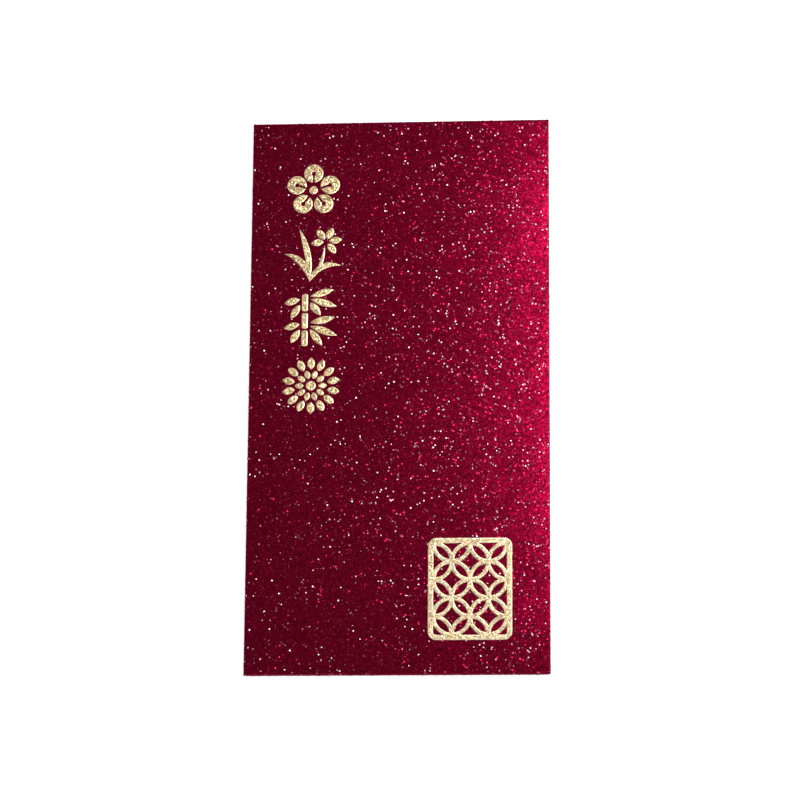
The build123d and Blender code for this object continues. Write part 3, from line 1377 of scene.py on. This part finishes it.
@dataclass
class GlitterCoat:
    """Cut flakes that lie on the outside of the paper."""

    kinds: Sequence[FlakeKind]
    stamps: Sequence[FoilStamp]
    plate: float = 0.06
    most_lean: float = math.radians(24.0)
    fold_stand: float = 0.04 * MM
    flat_from: float = 0.98
    lift: float = 0.2

    def __post_init__(self) -> None:
        """Model one flake of each kind, which the others are copied from."""
        self.models = {kind.name: self.model_flake(kind.sides) for kind in self.kinds}
        self.finishes = {kind.name: kind.finish.make() for kind in self.kinds}

    def model_flake(self, sides: int) -> tuple[np.ndarray, list[list[int]]]:
        """Model one flake of unit width, flat above and running to a point in the glue below.

        Args:
            sides: Corners of its outline.

        Returns:
            Its points and its faces' point numbers.
        """
        Bench.clear()
        bpy.ops.mesh.primitive_circle_add(vertices=sides, radius=0.5, fill_type="NGON")
        bench = Bench("flake")
        bench.edit()
        bpy.ops.mesh.select_all(action="SELECT")
        bpy.ops.mesh.extrude_region_move(TRANSFORM_OT_translate={"value": (0.0, 0.0, self.plate)})
        bench.pick_points(lambda point: point.z < self.plate / 2)
        bpy.ops.mesh.merge(type="CENTER")
        bench.face_out(lambda middle: middle - Vector((0.0, 0.0, self.plate * 0.7)))
        bench.leave()
        points = points_of(bench.obj)
        faces = [list(polygon.vertices) for polygon in bench.obj.data.polygons]
        bpy.data.objects.remove(bench.obj)
        return points, faces

    def scatter(
        self, name: str, papers: Sequence[bpy.types.Object], stand: float, seed: int, clear_of: Callable
    ) -> list[bpy.types.Object]:
        """Scatter every kind of flake over the outside of some paper pieces.

        Args:
            name: The start of the new pieces' names.
            papers: The paper pieces.
            stand: How far a flake may stand out of the paper.
            seed: Start of the random places.
            clear_of: Tells which places get no flake.

        Returns:
            One piece for each kind.
        """
        pieces = []
        for number, kind in enumerate(self.kinds):
            chance = np.random.default_rng(seed + number)
            spots, normals = self.places(papers, kind.density, chance)
            kept = ~clear_of(spots)
            pieces.append(self.lay(f"{name}_{kind.name}", kind, spots[kept], normals[kept], stand, chance))
        return pieces

    @staticmethod
    def places(
        papers: Sequence[bpy.types.Object], density: float, chance: np.random.Generator
    ) -> tuple[np.ndarray, np.ndarray]:
        """Pick random places on the outside of some paper pieces.

        Args:
            papers: The paper pieces.
            density: Flakes per square metre.
            chance: The source of random numbers.

        Returns:
            The places and the paper's normals there.
        """
        corners = np.vstack([outside_of(paper) for paper in papers])
        sides = corners[:, 1:] - corners[:, :1]
        normals = np.cross(sides[:, 0], sides[:, 1])
        spans = np.linalg.norm(normals, axis=1)
        normals /= np.maximum(spans, LEAST)[:, None]
        areas = spans / 2
        count = int(areas.sum() * density)
        picked = chance.choice(len(areas), count, p=areas / areas.sum())
        shares = chance.random((count, 2))
        folded = shares.sum(1) > 1.0
        shares[folded] = 1.0 - shares[folded]
        spots = corners[picked, 0] + (shares[..., None] * sides[picked]).sum(1)
        return spots, normals[picked]

    def lay(
        self,
        name: str,
        kind: FlakeKind,
        spots: np.ndarray,
        normals: np.ndarray,
        stand: float,
        chance: np.random.Generator,
    ) -> bpy.types.Object:
        """Copy the flake to many places, each with its own size, turn, lean and tint.

        Args:
            name: The new piece's name.
            kind: The kind of flake.
            spots: The places.
            normals: The paper's normals there.
            stand: How far a flake may stand out of the paper.
            chance: The source of random numbers.

        Returns:
            The piece.
        """
        count = len(spots)
        size = chance.uniform(kind.small, kind.large, count)
        lean = chance.normal(0.0, kind.lean, (count, 2))
        steep = np.maximum(np.linalg.norm(lean, axis=1), LEAST)
        lean *= np.minimum(1.0, self.most_lean / steep)[:, None]
        turn = chance.uniform(0.0, 2.0 * math.pi, count)[:, None]
        helper = np.where(np.abs(normals[:, 2:]) > 0.5, [[1.0, 0.0, 0.0]], [[0.0, 0.0, 1.0]])
        across = unit(np.cross(helper, normals))
        along = np.cross(normals, across)
        up = unit(normals + np.tan(lean[:, :1]) * across + np.tan(lean[:, 1:]) * along)
        first = np.cos(turn) * across + np.sin(turn) * along
        first = unit(first - (first * up).sum(1)[:, None] * up)
        second = np.cross(up, first)
        half = size / 2 * np.sin(np.arccos(np.clip((up * normals).sum(1), -1.0, 1.0)))
        room = np.where(np.abs(normals[:, 2]) > self.flat_from, stand, self.fold_stand)
        raised = np.minimum(half, room - half) + self.lift * self.plate * size
        middle = spots + raised[:, None] * normals
        axes = np.stack((first, second, up), axis=1) * size[:, None, None]
        shape, sides = self.models[kind.name]
        points = middle[:, None] + np.einsum("pk,nkc->npc", shape, axes)
        offsets = np.arange(count) * len(shape)
        faces = [[v + start for v in face] for start in offsets.tolist() for face in sides]
        mesh = bpy.data.meshes.new(name)
        mesh.from_pydata(points.reshape(-1, 3).tolist(), [], faces)
        obj = add_object(name, mesh)
        mesh.materials.append(self.finishes[kind.name])
        hold_number(obj, TINT, np.repeat(chance.random(count), len(shape)))
        LOG.info("%s: %d flakes", name, count)
        return obj

    def on_foil(self, spots: np.ndarray) -> np.ndarray:
        """Tell which places lie on the foil of the front.

        Args:
            spots: The places.

        Returns:
            True for each place on the foil.
        """
        held = np.zeros(len(spots), bool)
        for stamp in self.stamps:
            low, high = stamp.low, stamp.high
            near = (spots[:, 0] > low.x) & (spots[:, 0] < high.x)
            near &= (spots[:, 1] > low.y) & (spots[:, 1] < high.y)
            held[near] |= stamp.inside(spots[near, :2])
        return held

    @staticmethod
    def nowhere(spots: np.ndarray) -> np.ndarray:
        """Tell that no place is left out."""
        return np.zeros(len(spots), bool)


@dataclass(frozen=True)
class SoftBox:
    """One soft studio lamp."""

    name: str
    spot: tuple[float, float, float]
    aim: tuple[float, float, float]
    width: float
    height: float
    power: float

    def light(self) -> None:
        """Hang the lamp, out of the camera's sight."""
        lamp = bpy.data.lights.new(self.name, "AREA")
        lamp.shape = "RECTANGLE"
        lamp.size = self.width
        lamp.size_y = self.height
        lamp.energy = self.power
        obj = add_object(self.name, lamp)
        obj.location = self.spot
        back = (Vector(self.spot) - Vector(self.aim)).normalized()
        across = Vector((0.0, 1.0, 0.0)).cross(back).normalized()
        turn = Matrix((across, back.cross(across), back)).transposed()
        obj.rotation_euler = turn.to_euler()
        obj.visible_camera = False


@dataclass
class Studio:
    """Floor, lamps and camera."""

    floor_size: float = 24.0
    floor_level: float = -0.16 * MM
    sky: float = 0.04
    lens: float = 150.0
    sensor: float = 36.0
    distance: float = 0.9942
    elevation: float = math.radians(75.236)
    azimuth: float = math.radians(16.68)
    roll: float = math.radians(-16.782)
    target: tuple[float, float, float] = (0.39 * MM, -2.112 * MM, 1.0 * MM)
    lamps: Sequence[SoftBox] = (
        SoftBox("sheen_box", (0.0757, 0.0531, 0.1946), (0.02, 0.0, 0.0), 0.061, 0.168, 0.34),
        SoftBox("left_box", (-1.15, 0.2, 0.55), (0.0, 0.0, 0.0), 1.1, 1.1, 5.0),
        SoftBox("right_box", (1.15, 0.25, 0.55), (0.0, 0.0, 0.0), 1.1, 1.1, 9.0),
        SoftBox("front_box", (0.0, -0.95, 0.8), (0.0, 0.0, 0.0), 0.9, 0.9, 4.5),
        SoftBox("back_box", (0.0, 1.4, 0.38), (0.0, 0.0, 0.0), 0.9, 0.9, 4.5),
    )

    def set_up(self) -> None:
        """Set up the whole studio."""
        bpy.context.scene.view_settings.view_transform = "Standard"
        self.lay_floor()
        self.light_sky()
        for lamp in self.lamps:
            lamp.light()
        self.place_camera()

    def lay_floor(self) -> None:
        """Lay a plain pale floor under the envelope."""
        Bench.clear()
        bpy.ops.mesh.primitive_plane_add(size=self.floor_size, location=(0.0, 0.0, self.floor_level))
        bench = Bench("floor")
        bench.obj.data.materials.append(StudioFloorFinish().make())

    def light_sky(self) -> None:
        """Give the room its even, dim light."""
        world = bpy.data.worlds.new("studio")
        world.use_nodes = True
        sockets = world.node_tree.nodes["Background"].inputs
        sockets["Color"].default_value = (1.0, 1.0, 1.0, 1.0)
        sockets["Strength"].default_value = self.sky
        bpy.context.scene.world = world

    def place_camera(self) -> None:
        """Stand the camera over the front, turned a little about its own axis."""
        level = math.cos(self.elevation)
        back = Vector(
            (math.sin(self.azimuth) * level, -math.cos(self.azimuth) * level, math.sin(self.elevation))
        )
        right = Vector((math.cos(self.azimuth), math.sin(self.azimuth), 0.0))
        up = back.cross(right)
        rolled_right = math.cos(self.roll) * right + math.sin(self.roll) * up
        rolled_up = back.cross(rolled_right)
        lens = bpy.data.cameras.new("camera")
        lens.lens = self.lens
        lens.sensor_width = self.sensor
        camera = add_object("camera", lens)
        turn = Matrix((rolled_right, rolled_up, back)).transposed().to_4x4()
        turn.translation = Vector(self.target) + self.distance * back
        camera.matrix_world = turn
        bpy.context.scene.camera = camera


def glitter_kinds() -> tuple[FlakeKind, ...]:
    """The three kinds of flake: glinting ones, plain red ones and fine red dust.

    Returns:
        The kinds, in the order in which they are scattered.
    """
    silver = FlakeFinish("silver_flakes", (0.12, 0.0008, 0.012), (0.24, 0.003, 0.026), 0.15, glints=True)
    red = FlakeFinish("red_flakes", (0.10, 0.0005, 0.008), (0.45, 0.010, 0.060), 0.6, glints=False)
    fine = FlakeFinish("fine_flakes", (0.16, 0.0008, 0.013), (0.46, 0.028, 0.078), 0.6, glints=False)
    return (
        FlakeKind("silver", silver, 0.98 / MM**2, 0.34 * MM, 0.52 * MM, math.radians(10.5), 6),
        FlakeKind("red", red, 0.72 / MM**2, 0.38 * MM, 0.54 * MM, math.radians(7.0), 6),
        FlakeKind("fine", fine, 1.3 / MM**2, 0.18 * MM, 0.30 * MM, math.radians(12.0), 4),
    )


def main() -> None:
    """Build the envelope's pieces in order and set up the studio."""
    logging.basicConfig(level=logging.INFO, format="%(name)s: %(message)s")
    _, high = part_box("front_panel")
    wave = SheetWave(half_width=high.x, half_height=high.y)
    finishes = (GlitterPaperFinish().make(), PlainPaperFinish().make(), CutEdgeFinish().make())
    pocket = PaperPocket(finishes, DriedGlueFinish().make(), wave)
    papers = pocket.build()
    flap = ClosingFlap(finishes).build()
    for paper in (*papers, flap):
        LOG.info("%s: %d faces", paper.name, len(paper.data.polygons))
    stamps = FoilOrnaments(wave).build()
    coat = GlitterCoat(glitter_kinds(), stamps)
    fronts, backs = papers[:3], papers[3:]
    loose = coat.scatter("front_glitter", fronts, FRONT_STAND, FRONT_SEED, coat.on_foil)
    loose += coat.scatter("back_glitter", backs, BACK_STAND, BACK_SEED, pocket.covered)
    for piece in loose:
        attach(piece, POCKET)
    for piece in coat.scatter("flap_glitter", [flap], BACK_STAND, FLAP_SEED, coat.nowhere):
        ClosingFlap.hang(piece)
    Studio().set_up()


if __name__ == "__main__":
    main()
